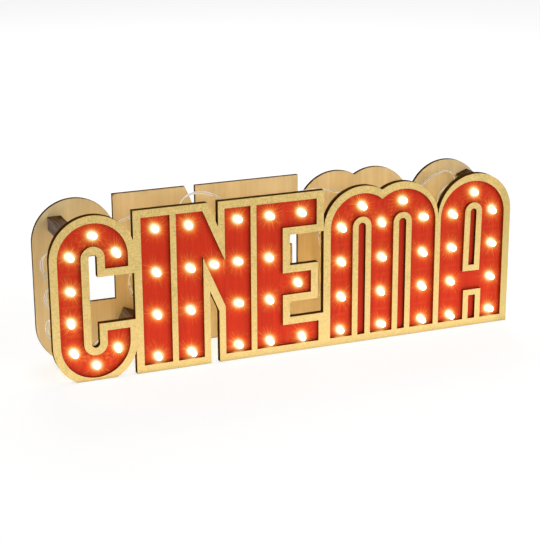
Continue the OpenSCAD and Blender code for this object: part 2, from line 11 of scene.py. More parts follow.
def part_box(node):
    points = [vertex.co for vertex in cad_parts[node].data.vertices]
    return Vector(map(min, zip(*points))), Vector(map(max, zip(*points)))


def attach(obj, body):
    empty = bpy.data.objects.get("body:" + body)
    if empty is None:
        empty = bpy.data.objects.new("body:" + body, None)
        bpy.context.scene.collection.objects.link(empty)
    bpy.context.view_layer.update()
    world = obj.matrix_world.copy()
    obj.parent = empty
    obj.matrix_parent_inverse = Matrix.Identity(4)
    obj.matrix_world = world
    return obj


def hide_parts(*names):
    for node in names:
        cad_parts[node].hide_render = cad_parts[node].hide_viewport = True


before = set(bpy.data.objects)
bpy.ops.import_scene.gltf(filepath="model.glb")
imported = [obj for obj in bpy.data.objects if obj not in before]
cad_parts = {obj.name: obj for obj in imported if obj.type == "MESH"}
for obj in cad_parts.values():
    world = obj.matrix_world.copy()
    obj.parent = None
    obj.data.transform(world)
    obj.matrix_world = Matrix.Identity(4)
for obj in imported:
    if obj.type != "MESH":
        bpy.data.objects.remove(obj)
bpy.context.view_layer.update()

bl_info = {
    "name": "Marquee Letter Sign",
    "version": (1, 0, 0),
    "blender": (4, 5, 0),
    "location": "View3D > Sidebar > Sign",
    "description": "Dresses the packed letter sign with its finishes, wire and light",
    "category": "Object",
}

MM = 0.001
BODY = "sign"
LETTER_NODES = ["c", "i", "n", "e", "m", "a"]
SPACERS = ["spacer_top_left", "spacer_low_left", "spacer_top_right", "spacer_low_right"]
CELLS = ["cell_low", "cell_middle", "cell_top"]
TURNED_CELL = "cell_middle"

# Finishes of a plate in the order of its slots: front face, rear face, cut walls, and the cut walls
# that face a bulb, which carry painted light
FRONT, REAR, CUT, PAINTED_LIGHT_CUT = range(4)

# Meshes: the distance up to which points are joined, the angles from which an edge is sharp or is
# a plate's cut, the spacing of points along a cut, and how far along Y a front or rear face looks
JOIN = 0.001 * MM
SHARP = math.radians(35)
CUT_ANGLE = math.radians(60)
CUT_SPACING = 0.5 * MM
FLAT_SHARE = 0.5

# Bulbs: the band at the tip of a lens in which its axis is read, the least distance of two axes,
# the steps of a lens over its dome and around, and the seed of the leans
TIP_BAND = 0.01 * MM
AXES_APART = 1 * MM
DOME_STEPS = 8
LENS_STEPS = 24
LEAN_SEED = 4

# Painted light on the panel, given off by the red paint itself: its colours over its reach in mm,
# how much of a bulb's lean it follows, how far the distance is held back half way between bulbs,
# and the reach of the hole around a bulb
HALO_REACH = 21.2
HALO = [
    (0.12, (0.4, 1.0, 0.75)), (0.155, (0.35, 0.82, 0.5)), (0.195, (0.33, 0.62, 0.31)),
    (0.235, (0.28, 0.33, 0.098)), (0.27, (0.24, 0.165, 0.034)), (0.31, (0.19, 0.085, 0.015)),
    (0.35, (0.13, 0.045, 0.006)), (0.43, (0.04, 0.012, 0.001)), (0.6, (0.0, 0.0, 0.0)),
]
LEAN_SHARE = 0.3
HOLD_BACK = 2.2 * MM
HOLE_REACH = 5 * MM

# Painted rays of light on the panel: their colour, where they start and end in mm, and how they
# fade
RAY_COLOUR = (0.24, 0.52, 0.09)
RAY_START, RAY_END = 3.0, 16.0
RAY_FADE = 1.6

# Painted light on the walls of a window: where it starts and ends, and how it fades
WALL_START, WALL_END = 4 * MM, 10 * MM
WALL_FADE = 2.0

# Strength of the light that a lens, a sleeve and a wall with painted light give off
LENS_STRENGTH = 6.0
SLEEVE_STRENGTH = 12.0
WALL_STRENGTH = 1.6

# Wire of the bulb string, as the part is built: its seat on the sleeves, and how its loops lean, in
# degrees
WIRE_OFF = 1.7 * MM
WIRE_LEG = 9 * MM
WIRE_SEAT = 0.1 * MM
WIRE_R = 0.8 * MM
LOOP_REACH = 34 * MM
LEAN_SWING = 12
LEAN_STEP = 121
FAR_LEANS = {2: 38, 3: 38, 4: 38, 9: -28, 15: 28, 36: 30}
LEG_STEPS = 3
RING_STEPS = 36
LOOP_SIDES = 8

# Route of the feed wire in mm, from the switch to the last bulb
FEED_ROUTE = [
    (108.75, 35.45, 53.3), (108.75, 35.45, 56), (108.75, 30.75, 60), (108.75, 24.75, 60),
    (108.75, 17.75, 60), (110, 14.25, 63), (113, 13.25, 70), (119, 12.75, 82.5),
    (128, 12.75, 98.5), (139, 12.75, 112.5), (151, 12.75, 121), (163, 12.75, 124.5),
    (171.5, 12.75, 120.5), (174, 12.75, 107.5), (174, 12.75, 79.7), (174, 12.75, 51.7),
    (176, 11.75, 31.7), (180, 7.75, 19), (183.125, -0.25, 11.7), (183.125, -11.25, 10.7),
    (183.125, -23.15, 10.7),
]
FEED_STEPS = 8
FEED_SIDES = 10

# Contact springs: turns, radius at the plate and at the cell, and steps in a turn
SPRING_TURNS = 3.5
SPRING_WIDE = 3.6 * MM
SPRING_NARROW = 2.7 * MM
SPRING_STEPS = 24
SPRING_SIDES = 10

# Where the pale band, the bare nub and the bare flat end of a cell begin and are whole, as shares
# of its length from the flat end
CELL_BAND = (0.70, 0.705)
CELL_NUB = (0.955, 0.958)
CELL_FLAT = (0.012, 0.015)

# Lamps by the name of their power: place, width and depth in metres, and those of the floor, which
# look up
LAMP_AIM = (0, 0, 0.07)
LAMPS = {
    "key": ((0.9, -1.4, 0.8), 1.2, 1.2),
    "fill": ((-1.3, -0.9, 0.8), 1.0, 1.0),
    "rear": ((0.3, 1.2, 1.2), 1.0, 1.0),
}
FLOOR_LAMPS = {
    "bounce": ((0, -0.15, -0.0002), 1.2, 1.2),
    "card": ((0, -0.091, -0.0001), 0.5, 0.1),
}

# Floor: half its width and its drop below the feet in metres, its grey as light sees it, and its
# grey and own light as the camera sees it
FLOOR_REACH = 8.0
FLOOR_DROP = 0.0005
FLOOR_GREY = 0.8
SHOWN_GREY = 0.3
SHOWN_LIGHT = 0.77

# Width of the camera's sensor in mm
SENSOR = 36


def length_property(name, description, default):
    """A length that a user would change."""
    return bpy.props.FloatProperty(
        name=name, description=description, default=default, unit="LENGTH")


def power_property(name, description, default):
    """The power of a lamp."""
    return bpy.props.FloatProperty(
        name=name, description=description, default=default, subtype="POWER")


def colour_property(name, description, default):
    """A colour that a user would change."""
    return bpy.props.FloatVectorProperty(
        name=name, description=description, default=default, size=3, subtype="COLOR",
        min=0, max=1)


class SignSizes(bpy.types.PropertyGroup):
    """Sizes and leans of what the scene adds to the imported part."""

    grid: bpy.props.FloatProperty(
        name="Panel grid",
        description="Spacing of the points that carry the glow and the scorched line",
        default=3 * MM, min=1 * MM, unit="LENGTH")
    scorch: length_property("Scorched line", "Width of the scorched line along a cut", 0.5 * MM)
    bulb: length_property("Bulb", "Diameter of a bulb", 5 * MM)
    bulb_rim: length_property("Bulb rim", "Diameter of the rim behind the panel", 6.2 * MM)
    least_lean: bpy.props.FloatVectorProperty(
        name="Least lean", description="Least turn of a bulb in its hole about X, Y and Z",
        default=(math.radians(-4), 0, math.radians(-5)), size=3, subtype="EULER")
    most_lean: bpy.props.FloatVectorProperty(
        name="Most lean", description="Most turn of a bulb in its hole about X, Y and Z",
        default=(math.radians(18), 0, math.radians(14)), size=3, subtype="EULER")
    # The glow on the panel is painted light that the red paint gives off
    glow_shift: bpy.props.FloatVectorProperty(
        name="Glow shift",
        description="How far the light on the panel sits beside the foot of a bulb",
        default=(0.5 * MM, -0.45 * MM), size=2, unit="LENGTH")
    glow_stretch: bpy.props.FloatProperty(
        name="Glow stretch",
        description="How much longer the light on the panel is than round",
        default=1.1, subtype="FACTOR")
    strand: length_property(
        "Strand radius", "Radius of one of the two strands of the wire", 0.5 * MM)
    strand_gap: length_property(
        "Strand gap", "Distance of a strand from the middle of the wire", 0.8 * MM)
    lay: length_property(
        "Twist", "Length in which the two strands turn once about each other", 70 * MM)
    spring_wire: length_property(
        "Spring wire radius", "Radius of the wire of a contact spring", 0.35 * MM)
    round_edge: length_property(
        "Moulded edge", "Radius of the edges of the moulded pieces", 0.35 * MM)


class SignColours(bpy.types.PropertyGroup):
    """Colours of the finishes."""

    # The dull gold also paints the shade on the bar at the right end, and the bright gold the
    # painted light towards the lower right
    gold: colour_property("Gold", "Gold paint of the face frame", (0.53, 0.378, 0.122))
    gold_dull: colour_property(
        "Dull gold", "Greenish specks and thin places in the gold paint", (0.35, 0.28, 0.08))
    gold_bright: colour_property(
        "Bright gold", "Fresh gold paint and its bright specks", (0.67, 0.485, 0.185))
    red: colour_property("Red", "Red paint of the panel", (0.485, 0.0268, 0.0068))
    red_deep: colour_property(
        "Deep red", "Darker brush lines in the red paint", (0.405, 0.0205, 0.0058))
    birch: colour_property("Birch", "Plywood of the back plate", (0.635, 0.512, 0.288))
    birch_dark: colour_property("Birch grain", "Grain lines of the plywood", (0.53, 0.413, 0.215))
    char: colour_property("Charred cut", "Burnt edge left by the cutter", (0.04, 0.015, 0.002))
    brown_cut: colour_property(
        "Brown cut", "Lighter plies in the burnt edge", (0.12, 0.046, 0.005))
    # Painted light: these burnt cuts inside a window are tinted red for the light that the red
    # panel throws on them
    char_painted_red_light: colour_property(
        "Lit burnt cut", "Burnt edge inside a window, reddened by the panel", (0.16, 0.018, 0.001))
    brown_painted_red_light: colour_property(
        "Lit brown cut", "Lighter plies inside a window", (0.36, 0.044, 0.002))
    walnut: colour_property("Block", "Stained wood of the blocks", (0.19, 0.135, 0.105))
    walnut_dark: colour_property("Block grain", "Grain of the blocks", (0.11, 0.074, 0.052))
    bulb: colour_property("Bulb light", "Light of a bulb", (1.0, 0.86, 0.6))
    # On the walls of a window this warm light is painted light
    glow: colour_property(
        "Warm light", "Light of a bulb on its sleeve and on the walls of a window",
        (1.0, 0.66, 0.24))
    clear: colour_property("Clear plastic", "Sleeves and wire", (0.9, 0.9, 0.87))
    case: colour_property("Box plastic", "Battery box and its cover", (0.018, 0.018, 0.02))
    cell: colour_property("Cell sleeve", "Plain sleeve of a cell", (0.03, 0.06, 0.045))
    nickel: colour_property("Nickel", "Contacts, springs and switch case", (0.62, 0.6, 0.56))
    knob: colour_property("Knob", "Knob of the switch", (0.72, 0.72, 0.69))
    foam: colour_property("Foam", "Foam tape behind the box", (0.78, 0.78, 0.74))


class StageSettings(bpy.types.PropertyGroup):
    """Camera and light."""

    camera: bpy.props.FloatVectorProperty(
        name="Camera", description="Place of the camera", default=(-0.46084, -1.1425, 0.45577),
        size=3, subtype="XYZ", unit="LENGTH")
    aim: bpy.props.FloatVectorProperty(
        name="Aim", description="Point that the camera looks at",
        default=(-0.01963, -0.03725, 0.07251), size=3, subtype="XYZ", unit="LENGTH")
    roll: bpy.props.FloatProperty(
        name="Roll", description="Turn of the camera about its view",
        default=math.radians(-0.294), subtype="ANGLE")
    lens: bpy.props.FloatProperty(
        name="Lens", description="Focal length in mm", default=103.73, unit="CAMERA")
    key: power_property("Key light", "Power of the large lamp at the upper right", 17.3)
    fill: power_property("Fill light", "Power of the lamp at the left", 0.6)
    rear: power_property("Rear light", "Power of the lamp behind", 12)
    bounce: power_property(
        "Bounce light", "Power of the light that comes back from a white table", 3)
    card: power_property(
        "Card light", "Power of the light from a white card in front of the letters' feet", 0.19)
    ambient: bpy.props.FloatProperty(
        name="Ambient", description="Strength of the even light of the room",
        default=0.42, subtype="FACTOR")


# Small helpers for node trees

def put(tree, kind, sockets=None, **settings):
    """A node of that kind, with its settings, and its inputs filled or linked."""
    made = tree.nodes.new(kind)
    for name, value in settings.items():
        setattr(made, name, value)
    for key, value in (sockets or {}).items():
        if isinstance(value, bpy.types.NodeSocket):
            tree.links.new(value, made.inputs[key])
        else:
            made.inputs[key].default_value = value
    return made


def calc(tree, operation, *values):
    """One step of arithmetic."""
    return put(tree, "ShaderNodeMath", dict(enumerate(values)), operation=operation).outputs[0]


def vector_calc(tree, operation, *values):
    """One step of arithmetic on vectors."""
    made = put(tree, "ShaderNodeVectorMath", dict(enumerate(values)), operation=operation)
    return made.outputs["Value" if operation == "LENGTH" else "Vector"]


def place_of(tree):
    """The piece's own coordinates."""
    return put(tree, "ShaderNodeTexCoord").outputs["Object"]


def axes(tree, vector):
    """X, Y and Z of a vector."""
    return put(tree, "ShaderNodeSeparateXYZ", {"Vector": vector}).outputs


def stored(tree, name, output="Fac"):
    """What the points of the mesh keep under a name."""
    return put(tree, "ShaderNodeAttribute", attribute_name=name).outputs[output]


def grade(tree, value, low, high, start=0.0, end=1.0):
    """value, taken from low..high to start..end and held there."""
    made = put(tree, "ShaderNodeMapRange", {
        "Value": value, "From Min": low, "From Max": high, "To Min": start, "To Max": end})
    return made.outputs[0]


def spread(tree, value, start, end):
    """start..end over the whole range of a noise."""
    return grade(tree, value, 0.3, 0.7, start, end)


def mixed(tree, share, a, b, blend="MIX"):
    """Colour a with a share of colour b."""
    made = put(tree, "ShaderNodeMix", data_type="RGBA", blend_type=blend)
    for index, value in ((0, share), (6, a), (7, b)):
        if isinstance(value, bpy.types.NodeSocket):
            tree.links.new(value, made.inputs[index])
        else:
            made.inputs[index].default_value = value if index == 0 else (*value, 1)
    return made.outputs[2]


def veined(tree, value, a, b):
    """Colours from a to b over the middle range of a noise."""
    return mixed(tree, grade(tree, value, 0.35, 0.65), a, b)


def ramp(tree, value, stops):
    """Colours along a value, as (place, colour) stops in rising order."""
    made = put(tree, "ShaderNodeValToRGB", {"Fac": value})
    elements = made.color_ramp.elements
    elements[0].position = stops[0][0]
    elements[1].position = stops[-1][0]
    for place, _ in stops[1:-1]:
        elements.new(place)
    for element, (_, colour) in zip(elements, stops):
        element.color = (*colour, 1)
    return made.outputs["Color"]


def noise(tree, scale, detail=3.0, stretch=(1, 1, 1), vector=None):
    """Even noise on the piece's own coordinates, finer with a larger scale, stretched by axis."""
    source = place_of(tree) if vector is None else vector
    moved = put(tree, "ShaderNodeMapping", {"Vector": source, "Scale": stretch})
    made = put(tree, "ShaderNodeTexNoise", {
        "Vector": moved.outputs["Vector"], "Scale": scale, "Detail": detail, "Roughness": 0.6})
    return made.outputs[0]


def finish(name, build, **sockets):
    """A material with what build(tree) makes linked to its shader, and constants set on it."""
    material = bpy.data.materials.new(name)
    material.use_nodes = True
    tree = material.node_tree
    tree.nodes.clear()
    shader = put(tree, "ShaderNodeBsdfPrincipled", sockets)
    made = build(tree)
    height = made.pop("Height", None)
    depth = made.pop("Depth", 0.1 * MM)
    if height is not None:
        bump = put(tree, "ShaderNodeBump", {"Height": height, "Strength": 1.0, "Distance": depth})
        tree.links.new(bump.outputs["Normal"], shader.inputs["Normal"])
    for key, value in made.items():
        tree.links.new(value, shader.inputs[key])
    out = put(tree, "ShaderNodeOutputMaterial")
    tree.links.new(shader.outputs[0], out.inputs["Surface"])
    return material


# Finishes

def charred_cut(name, dark, pale, glow=None):
    """Burnt plies on a cut wall: dark and paler bands, uneven, and near a bulb a painted glow that
    the wall gives off itself.
    """
    ply_width = 1.1 * MM

    def build(tree):
        deep = axes(tree, place_of(tree))["Y"]
        ply = calc(tree, "SINE", calc(tree, "MULTIPLY", deep, 2 * math.pi / ply_width))
        uneven = noise(tree, 160, 4, (1, 4, 1))
        banded = calc(tree, "ADD", ply, calc(tree, "MULTIPLY", uneven, 2.0))
        made = {"Base Color": mixed(tree, grade(tree, banded, 0.6, 2.4), dark, pale),
                "Roughness": spread(tree, uneven, 0.75, 0.95), "Height": uneven}
        if glow is not None:
            close = grade(tree, stored(tree, "bulb_gap"), WALL_START, WALL_END, 1.0, 0.0)
            painted_glow = calc(tree, "POWER", close, WALL_FADE)
            made["Emission Color"] = mixed(tree, painted_glow, (0, 0, 0), glow)
        return made
    strength = 0.0 if glow is None else WALL_STRENGTH
    return finish(name, build, **{"Specular IOR Level": 0.0, "Emission Strength": strength})


def scorched(tree, face, colours, width):
    """A face with a thin scorched line along its cut."""
    rough = calc(tree, "MULTIPLY", noise(tree, 300), width)
    ragged = calc(tree, "ADD", stored(tree, "edge_gap"), rough)
    share = grade(tree, ragged, 0.3 * width, 1.5 * width, 0.75, 0.0)
    return mixed(tree, share, face, colours.brown_cut)


def gold_paint(colours):
    """Gold paint over thin sheet with specks, and painted light: fresher and brighter towards its
    right foot, duller and more speckled towards its upper left.
    """
    low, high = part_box("front_frame")

    def build(tree):
        fine = noise(tree, 900, 4)
        place = axes(tree, place_of(tree))
        # Painted light: the paint turns fresher and brighter towards the right and the foot, and
        # duller towards the upper left, as the light falls; the broad noise adds wear that differs
        # at random
        left = grade(tree, place["X"], low.x, high.x, 0.1, -0.08)
        upper = grade(tree, place["Z"], low.z, high.z, -0.3, 0.18)
        wear_and_painted_light = calc(tree, "ADD", noise(tree, 45, 3), calc(tree, "ADD", left, upper))
        worn = ramp(tree, fine, [
            (0.31, colours.gold_dull), (0.5, colours.gold), (0.69, colours.gold_bright)])
        fresh = mixed(tree, grade(tree, fine, 0.32, 0.68), colours.gold, colours.gold_bright)
        gold_with_painted_light = mixed(tree, spread(tree, wear_and_painted_light, 0.0, 1.0), fresh, worn)
        # Painted shade: the bar at the right end is darkened towards the dull gold
        end = grade(tree, place["X"], 0.94 * high.x, 0.97 * high.x, 0.0, 0.45)
        face = mixed(tree, end, gold_with_painted_light, colours.gold_dull)
        return {"Base Color": face, "Roughness": spread(tree, fine, 0.45, 0.62),
                "Height": fine, "Depth": 0.08 * MM}
    return finish("gold_paint", build, **{"Metallic": 0.15, "Specular IOR Level": 0.3})


def bulb_distance(tree):
    """Distance from the middle of the nearest glow, in mm."""
    near = vector_calc(tree, "LENGTH", stored(tree, "bulb_offset", "Vector"))
    # The offset jumps half way between two bulbs, where the stored gap holds the distance up
    far = calc(tree, "SUBTRACT", stored(tree, "bulb_gap"), HOLD_BACK)
    return calc(tree, "DIVIDE", calc(tree, "MAXIMUM", near, far), MM)


def streaks(tree, distance):
    """Painted rays of light that run out from each bulb over the panel."""
    offset = stored(tree, "bulb_offset", "Vector")
    centre = vector_calc(tree, "SUBTRACT", place_of(tree), offset)
    ray = vector_calc(tree, "NORMALIZE", offset)
    seeded = vector_calc(tree, "MULTIPLY_ADD", centre, (90, 0, 90), ray)
    rays = grade(tree, noise(tree, 15, 2, vector=seeded), 0.52, 0.66)
    # Each bulb has rays of its own strength
    strength = grade(tree, noise(tree, 700, 0, vector=centre), 0.35, 0.65, 0.35, 0.9)
    reach = grade(tree, distance, RAY_START, RAY_END, 1.0, 0.0)
    fading = calc(tree, "MULTIPLY", strength, calc(tree, "POWER", reach, RAY_FADE))
    return calc(tree, "MULTIPLY", rays, fading)


def red_paint(colours):
    """Red paint with faint upright brush lines, and painted light around every bulb that the paint
    gives off itself.
    """
    def build(tree):
        lines = noise(tree, 320, 4, (1, 1, 0.06))
        distance = bulb_distance(tree)
        halo = ramp(tree, grade(tree, distance, 0.0, HALO_REACH), HALO)
        painted_glow = mixed(tree, streaks(tree, distance), halo, RAY_COLOUR, "ADD")
        return {"Base Color": veined(tree, lines, colours.red_deep, colours.red),
                "Roughness": spread(tree, lines, 0.4, 0.55), "Emission Color": painted_glow,
                "Height": lines, "Depth": 0.05 * MM}
    return finish("red_paint", build, **{"Emission Strength": 1.0, "Specular IOR Level": 0.06})


def birch_plywood(colours, sizes):
    """Bare plywood with upright grain."""
    def build(tree):
        band = calc(tree, "MULTIPLY", noise(tree, 60, 3, (1, 1, 0.05)), 0.7)
        fibre = noise(tree, 900, 3, (1, 1, 0.03))
        tone = calc(tree, "ADD", band, calc(tree, "MULTIPLY", fibre, 0.3))
        face = mixed(tree, grade(tree, tone, 0.4, 0.62), colours.birch_dark, colours.birch)
        return {"Base Color": scorched(tree, face, colours, sizes.scorch),
                "Roughness": spread(tree, fibre, 0.5, 0.68), "Height": fibre, "Depth": 0.06 * MM}
    return finish("birch_plywood", build, **{"Specular IOR Level": 0.25})


def stained_block(colours):
    """Wood with its grain along the block, burnt dark on the cut faces above and below."""
    def build(tree):
        grain = noise(tree, 420, 5, (1, 0.07, 1))
        wood = veined(tree, grain, colours.walnut_dark, colours.walnut)
        burnt = veined(tree, grain, colours.char, colours.brown_cut)
        normal = put(tree, "ShaderNodeTexCoord").outputs["Normal"]
        level = grade(tree, calc(tree, "ABSOLUTE", axes(tree, normal)["Z"]), 0.6, 0.8)
        return {"Base Color": mixed(tree, level, wood, burnt),
                "Roughness": spread(tree, grain, 0.72, 0.55), "Height": grain, "Depth": 0.2 * MM}
    return finish("stained_block", build, **{"Specular IOR Level": 0.1})


def lit_bulb(colours):
    """A lit lens: white hot at its tip and yellower towards its rim."""
    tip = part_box("bulbs_c")[0].y
    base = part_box("face_panel")[0].y

    def build(tree):
        deep = grade(tree, axes(tree, place_of(tree))["Y"], tip, base)
        light = ramp(tree, deep, [
            (0.1, colours.bulb), (0.3, (0.25, 0.235, 0.18)), (0.7, (0.17, 0.158, 0.088))])
        cloud = noise(tree, 1500, 2)
        return {"Emission Color": light, "Roughness": spread(tree, cloud, 0.08, 0.2)}
    return finish("lit_bulb", build, **{
        "Base Color": (1, 0.95, 0.85, 1), "Emission Strength": LENS_STRENGTH})


def clouded(tree, colours, smooth, dull):
    """Colour and roughness of clear plastic that is a little clouded."""
    cloud = noise(tree, 500, 3)
    tint = mixed(tree, spread(tree, cloud, 0.0, 1.0), colours.clear, (0.78, 0.78, 0.75))
    return {"Base Color": tint, "Roughness": spread(tree, cloud, smooth, dull)}


def clear_sleeve(colours):
    """Clear soft plastic that carries light from the back of a bulb and fades along its sleeve."""
    start, end = (corner.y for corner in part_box("sleeves_c"))

    def build(tree):
        deep = axes(tree, place_of(tree))["Y"]
        near = calc(tree, "POWER", grade(tree, deep, start, end, 1.0, 0.0), 3.0)
        light = mixed(tree, near, (0, 0, 0), colours.glow)
        return {**clouded(tree, colours, 0.12, 0.3), "Emission Color": light}
    return finish("clear_sleeve", build, **{
        "Transmission Weight": 0.8, "IOR": 1.45, "Emission Strength": SLEEVE_STRENGTH})


def clear_wire(colours):
    """Clear insulation of the wire, clouded by the strand inside it."""
    def build(tree):
        return clouded(tree, colours, 0.25, 0.4)
    return finish("clear_wire", build, **{"Transmission Weight": 0.5, "IOR": 1.45})


def moulded_plastic(name, colour, grain, rough):
    """Moulded plastic with a fine texture."""
    lighter = tuple(min(1.0, 1.35 * c + 0.004) for c in colour)

    def build(tree):
        cloud = noise(tree, grain, 2)
        return {"Base Color": veined(tree, cloud, colour, lighter),
                "Roughness": spread(tree, cloud, rough, rough + 0.15),
                "Height": cloud, "Depth": 0.04 * MM}
    return finish(name, build)


def bright_metal(name, colour, rough):
    """Plated metal with faint rolling lines."""
    dull = tuple(0.7 * c for c in colour)

    def build(tree):
        lines = noise(tree, 700, 3, (1, 0.1, 1))
        return {"Base Color": veined(tree, lines, dull, colour),
                "Roughness": spread(tree, lines, rough, rough + 0.15)}
    return finish(name, build, **{"Metallic": 1.0})


def cell_sleeve(node, colours):
    """A cell: plain sleeve with a pale band at the nub end, bare metal at both ends."""
    low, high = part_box(node)
    flat_end, nub_end = (high.x, low.x) if node == TURNED_CELL else (low.x, high.x)
    metal = tuple(0.85 * c for c in colours.nickel)

    def build(tree):
        share = grade(tree, axes(tree, place_of(tree))["X"], flat_end, nub_end)
        scuff = noise(tree, 260, 4, (0.3, 1, 1))
        worn = grade(tree, scuff, 0.3, 0.75, 0.0, 0.3)
        body = mixed(tree, worn, colours.cell, (0.08, 0.11, 0.09))
        banded = mixed(tree, grade(tree, share, *CELL_BAND), body, (0.55, 0.42, 0.2))
        sleeved = mixed(tree, grade(tree, share, *CELL_NUB), banded, metal)
        ended = mixed(tree, grade(tree, share, *CELL_FLAT, 1.0, 0.0), sleeved, metal)
        return {"Base Color": ended, "Roughness": spread(tree, scuff, 0.22, 0.36),
                "Height": scuff, "Depth": 0.02 * MM}
    return finish(node + "_sleeve", build, **{"Metallic": 0.35})


# Meshes

def add_piece(name, mesh, replaced, materials=()):
    """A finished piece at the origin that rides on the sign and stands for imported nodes."""
    piece = bpy.data.objects.new(name, mesh)
    bpy.context.scene.collection.objects.link(piece)
    for material in materials:
        mesh.materials.append(material)
    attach(piece, BODY)
    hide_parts(*replaced)


def paint(nodes, material):
    """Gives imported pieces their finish."""
    for node in nodes:
        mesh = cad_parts[node].data
        mesh.materials.clear()
        mesh.materials.append(material)


def soften(node, radius):
    """Rounds the edges of a moulded piece."""
    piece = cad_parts[node]
    weld = piece.modifiers.new("joined", "WELD")
    weld.merge_threshold = JOIN
    flat = piece.modifiers.new("flat_faces", "DECIMATE")
    flat.decimate_type = "DISSOLVE"
    flat.angle_limit = math.radians(1)
    bevel = piece.modifiers.new("round_edges", "BEVEL")
    bevel.width = radius
    bevel.segments = 2
    bevel.limit_method = "ANGLE"
    bevel.angle_limit = math.radians(40)
    bevel.harden_normals = True


def smooth(mesh):
    """Shades a mesh smooth, with its sharp edges kept."""
    mesh.shade_smooth()
    mesh.set_sharp_from_angle(angle=SHARP)


def flat_point(point):
    """A point moved along Y to the plane of the letters."""
    return Vector((point.x, 0, point.z))


def raised(place):
    """A point (x, z) in the plane of the letters."""
    return Vector((place.x, 0, place.y))


def bulb_places():
    """Axis points (x, z) of the bulbs in the order of the string, read from their tips."""
    places = []
    for letter in LETTER_NODES:
        node = "bulbs_" + letter
        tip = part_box(node)[0].y
        found = []
        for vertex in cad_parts[node].data.vertices:
            point = Vector((vertex.co.x, vertex.co.z))
            fresh = all((point - other).length > AXES_APART for other in found)
            if vertex.co.y < tip + TIP_BAND and fresh:
                found.append(point)
        places += found
    return places


def bulb_tips():
    """Tips of the lit bulbs in the order of the string."""
    points = [vertex.co for vertex in bpy.data.objects["lit_bulbs"].data.vertices]
    size = len(points) // len(bulb_places())
    bulbs = [points[k:k + size] for k in range(0, len(points), size)]
    return [min(bulb, key=lambda point: point.y) for bulb in bulbs]


def glows(sizes):
    """Middle and long direction of the painted light around each bulb, on the side that it leans
    to.
    """
    found = []
    shift = Vector(sizes.glow_shift)
    for place, tip in zip(bulb_places(), bulb_tips()):
        lean = (Vector((tip.x, tip.z)) - place) * LEAN_SHARE
        found.append((place + lean + shift, (2 * shift + lean).normalized()))
    return found


def gridded(node, step):
    """A copy of a plate's mesh and its shape, joined and cut on a square grid to carry values."""
    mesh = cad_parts[node].data.copy()
    for attribute in [a for a in mesh.attributes if a.name == "custom_normal"]:
        mesh.attributes.remove(attribute)
    shape = bmesh.new()
    shape.from_mesh(mesh)
    bmesh.ops.remove_doubles(shape, verts=shape.verts, dist=JOIN)
    low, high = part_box(node)
    for axis in (0, 2):
        across = Vector((axis == 0, 0, axis == 2))
        for k in range(1, math.ceil((high[axis] - low[axis]) / step)):
            bmesh.ops.bisect_plane(
                shape, geom=shape.verts[:] + shape.edges[:] + shape.faces[:],
                plane_co=across * (low[axis] + k * step), plane_no=across)
    return mesh, shape


def outline_points(shape):
    """Points along the cut edges of a plate."""
    points = []
    for edge in shape.edges:
        if len(edge.link_faces) == 2 and edge.calc_face_angle() > CUT_ANGLE:
            a, b = (v.co for v in edge.verts)
            count = max(1, math.ceil((b - a).length / CUT_SPACING))
            points += [a.lerp(b, i / count) for i in range(count + 1)]
    return points


def tree_of(points):
    """A search tree over points."""
    tree = KDTree(len(points))
    for index, point in enumerate(points):
        tree.insert(point, index)
    tree.balance()
    return tree


def store(mesh, name, kind, values):
    """Keeps one value for each point of a mesh."""
    attribute = mesh.attributes.new(name, kind, "POINT")
    key = "value" if kind == "FLOAT" else "vector"
    for item, value in zip(attribute.data, values):
        setattr(item, key, value)


def store_lights(mesh, lights, stretch):
    """Keeps the way from the nearest light for each point of a mesh, and gives the distances."""
    centres = tree_of([raised(middle) for middle, _ in lights])
    points = [flat_point(v.co) for v in mesh.vertices]
    nearest = [centres.find(point) for point in points]
    offsets = []
    for point, (middle, index, _) in zip(points, nearest):
        along = raised(lights[index][1])
        offset = point - middle
        ahead = along * offset.dot(along)
        offsets.append(ahead / stretch + (offset - ahead) * stretch)
    gaps = [gap for _, _, gap in nearest]
    store(mesh, "bulb_gap", "FLOAT", gaps)
    store(mesh, "bulb_offset", "FLOAT_VECTOR", offsets)
    return gaps


def side_of(face):
    """The finish that a face of a plate takes by the way it looks."""
    if face.normal.y < -FLAT_SHARE:
        return FRONT
    return REAR if face.normal.y > FLAT_SHARE else CUT


def plate(node, step):
    """The mesh of a plate, with its distance from the cut and a finish for each side."""
    mesh, shape = gridded(node, step)
    edges = tree_of(outline_points(shape))
    shape.to_mesh(mesh)
    shape.free()
    store(mesh, "edge_gap", "FLOAT", [edges.find(v.co)[2] for v in mesh.vertices])
    smooth(mesh)
    mesh.materials.clear()
    for face in mesh.polygons:
        face.material_index = side_of(face)
    return mesh


def lit_plate(node, step, lights, stretch):
    """A plate that carries the painted light of the bulbs, on the walls of their holes as well."""
    mesh = plate(node, step)
    gaps = store_lights(mesh, lights, stretch)
    for face in mesh.polygons:
        if max(gaps[v] for v in face.vertices) < HOLE_REACH:
            face.material_index = FRONT
    return mesh


def windowed_plate(node, step):
    """A plate whose cut walls that face their nearest bulb, inside its windows, take the finish
    with painted light.
    """
    mesh = plate(node, step)
    bulbs = tree_of([raised(place) for place in bulb_places()])
    store(mesh, "bulb_gap", "FLOAT", [bulbs.find(flat_point(v.co))[2] for v in mesh.vertices])
    for face in mesh.polygons:
        middle = flat_point(face.center)
        if face.material_index == CUT and face.normal.dot(bulbs.find(middle)[0] - middle) > 0:
            face.material_index = PAINTED_LIGHT_CUT
    return mesh


